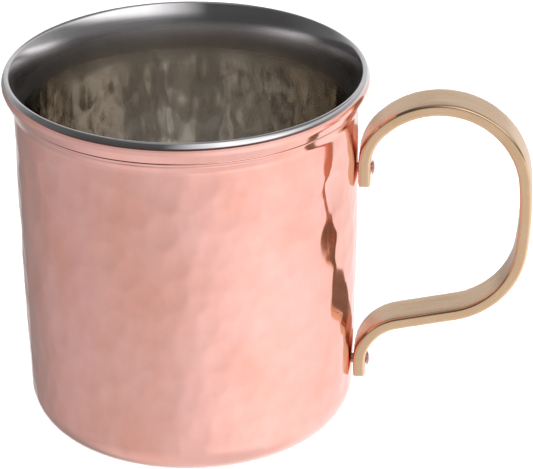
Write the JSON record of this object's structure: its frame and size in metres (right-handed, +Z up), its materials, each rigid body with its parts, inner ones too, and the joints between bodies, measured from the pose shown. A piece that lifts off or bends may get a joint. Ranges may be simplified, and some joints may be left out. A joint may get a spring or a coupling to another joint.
{
  "type": "copper mug",
  "caption": "Hammered copper drinking mug with a tin lining, a flared rim and a brass strap handle riveted to the wall.",
  "frame": {"origin": "centre of the flat base, on the surface the mug stands on", "axes": "+Z up along the cup's axis, +X from the cup's axis towards the handle, Y across the handle's strap"},
  "size_m": [0.1314, 0.0912, 0.0941],
  "materials": {
    "copper": null,
    "tin": null,
    "brass": "brushed faces with polished edges",
    "rivet_copper": null
  },
  "bodies": {
    "root": {"cup_body": "copper", "tin_lining": "tin", "handle_strap": "brass", "upper_rivet": "rivet_copper", "lower_rivet": "rivet_copper"}
  },
  "joints": []
}
